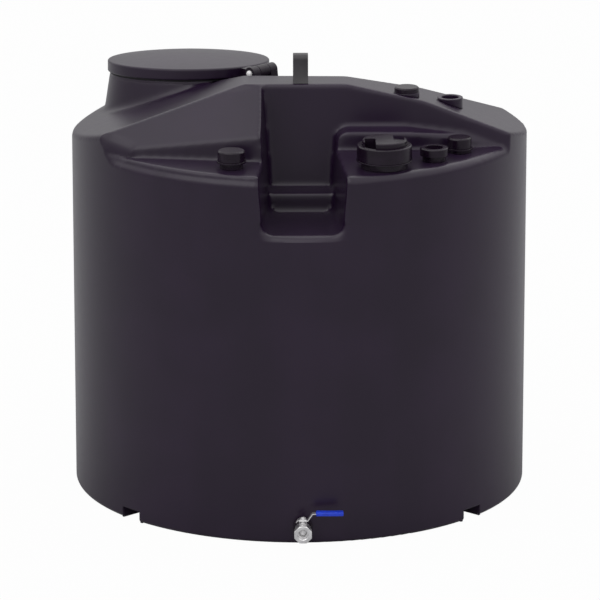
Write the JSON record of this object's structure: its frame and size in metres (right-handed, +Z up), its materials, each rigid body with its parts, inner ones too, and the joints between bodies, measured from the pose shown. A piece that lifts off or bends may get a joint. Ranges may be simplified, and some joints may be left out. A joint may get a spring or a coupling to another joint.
{
  "type": "rainwater tank",
  "caption": "Round moulded rainwater tank with a shaped roof, hinged manway lid, lifting lug, screw ports, front well and a lever ball valve outlet.",
  "frame": {"origin": "centre of the flat base, on the ground", "axes": "+Z up, -Y towards the front, where the outlet valve is, +X to the right seen from the front"},
  "size_m": [1.5, 1.593, 1.5046],
  "materials": {
    "moulded_plastic": "satin rotomoulded black-brown polyethylene",
    "black_fitting": "satin black moulded fittings",
    "seal_rubber": "dull black rubber",
    "stainless_steel": "cast and machined stainless steel",
    "pin_steel": "pale plated steel",
    "blue_sleeve": "dipped blue vinyl",
    "seat_plastic": "white seat plastic"
  },
  "bodies": {
    "tank": {"tank_base": "moulded_plastic", "tank_wall_1": "moulded_plastic", "tank_wall_2": "moulded_plastic", "tank_wall_3": "moulded_plastic", "tank_wall_4": "moulded_plastic", "tank_wall_5": "moulded_plastic", "tank_wall_6": "moulded_plastic", "tank_top": "moulded_plastic", "manway_neck": "moulded_plastic", "lifting_lug": "moulded_plastic", "roof_port_boss": "moulded_plastic", "roof_port_open_boss": "moulded_plastic", "hinge_bracket": "black_fitting", "left_port_neck": "black_fitting", "left_port_cap": "black_fitting", "right_port_neck": "black_fitting", "right_port_cap": "black_fitting", "open_port_neck": "black_fitting", "inspection_port_neck": "black_fitting", "inspection_port_ring": "black_fitting", "inspection_port_cap": "black_fitting", "roof_port_cap": "black_fitting", "outlet_boss": "black_fitting", "lid_gasket": "seal_rubber", "hinge_pin": "pin_steel", "outlet_pipe": "stainless_steel", "valve_body": "stainless_steel", "valve_end": "stainless_steel", "gland_nut": "stainless_steel", "valve_seat_back": "seat_plastic", "valve_seat_front": "seat_plastic"},
    "lid": {"manway_lid": "moulded_plastic", "hinge_lid_arm": "black_fitting"},
    "valve_handle": {"valve_stem": "stainless_steel", "valve_ball": "stainless_steel", "valve_lever": "stainless_steel", "lock_plate": "stainless_steel", "lever_sleeve": "blue_sleeve", "lever_nut": "stainless_steel"}
  },
  "joints": [
    {"name": "lid_hinge", "type": "hinge", "parent": "tank", "child": "lid", "pos_m": [-0.12517, 0.02017, 1.381], "axis": [0.7071, 0.7071, 0], "range_deg": [0, 105]},
    {"name": "valve_turn", "type": "hinge", "parent": "tank", "child": "valve_handle", "pos_m": [0, -0.802, 0.06], "axis": [0, 0, -1], "range_deg": [0, 90]}
  ]
}
